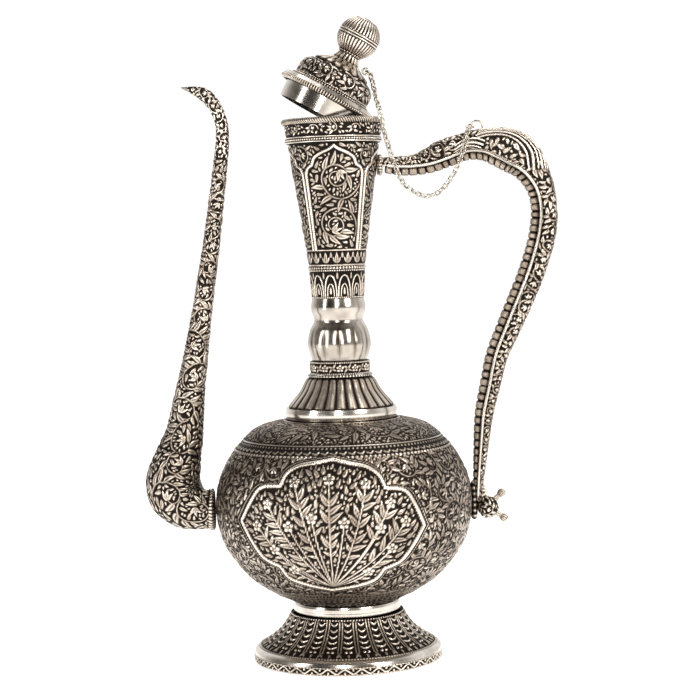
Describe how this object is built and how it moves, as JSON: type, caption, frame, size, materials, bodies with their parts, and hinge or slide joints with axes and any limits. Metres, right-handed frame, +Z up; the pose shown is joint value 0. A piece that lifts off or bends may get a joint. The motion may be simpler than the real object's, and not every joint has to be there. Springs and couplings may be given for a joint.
{
  "type": "ewer",
  "caption": "Chased metal ewer with a round body on a flared foot, tall tapered neck, long swan spout, arched handle and a plug lid on a chain",
  "frame": {"origin": "on the axis of the turned body, in the plane of the foot's flat underside", "axes": "+Z up the body's axis, +X from the axis towards the handle, the spout on -X, +Y away from the front panel"},
  "size_m": [0.2215, 0.136, 0.3393],
  "materials": {
    "chased_silver": "chased silver, bright on the high relief and dark brown oxide in the recesses",
    "polished_silver": "polished silver with fine handling scratches",
    "chain_silver": "bright drawn silver wire"
  },
  "bodies": {
    "pot": {"foot_collar": "polished_silver", "shoulder_ring": "polished_silver", "neck_bell_ring": "polished_silver", "neck_arcade_ring": "polished_silver", "neck_knop": "polished_silver", "collar_moulding": "polished_silver", "mouth_rim": "polished_silver", "handle_rail_front": "polished_silver", "handle_rail_rear": "polished_silver", "foot_base_plate": "chased_silver", "foot_rim_band": "chased_silver", "foot_shell": "chased_silver", "body_lower": "chased_silver", "body_upper": "chased_silver", "neck_bell": "chased_silver", "neck_foliate_band": "chased_silver", "neck_arcade_band": "chased_silver", "neck_shell": "chased_silver", "collar_band": "chased_silver", "spout_collar": "chased_silver", "spout_elbow": "chased_silver", "spout_tube": "chased_silver", "spout_beak": "chased_silver", "handle_socket": "chased_silver", "handle_back": "chased_silver", "handle_belly_strip": "chased_silver", "handle_foot_pad": "chased_silver", "handle_ball": "chased_silver", "handle_nub_upper": "chased_silver", "handle_nub_lower": "chased_silver", "handle_chain_loop": "chain_silver", "chain_handle_ring": "chain_silver"},
    "lid_carrier": {"chain": "chain_silver"},
    "lid": {"lid_sleeve": "polished_silver", "lid_flange": "polished_silver", "lid_bead_ring": "chased_silver", "lid_dome": "chased_silver", "lid_cap": "chased_silver", "finial_neck": "chased_silver", "finial_ball": "chased_silver", "lid_eyelet": "chain_silver", "chain_lid_ring": "chain_silver"}
  },
  "joints": [
    {"name": "lid_lift", "type": "slide", "parent": "pot", "child": "lid_carrier", "axis": [0, 0, 1], "range_m": [0, 0.03]},
    {"name": "lid_rock", "type": "hinge", "parent": "lid_carrier", "child": "lid", "pos_m": [0.0172, 0, 0.2998], "axis": [0, 1, 0], "range_deg": [-30, 0]}
  ]
}
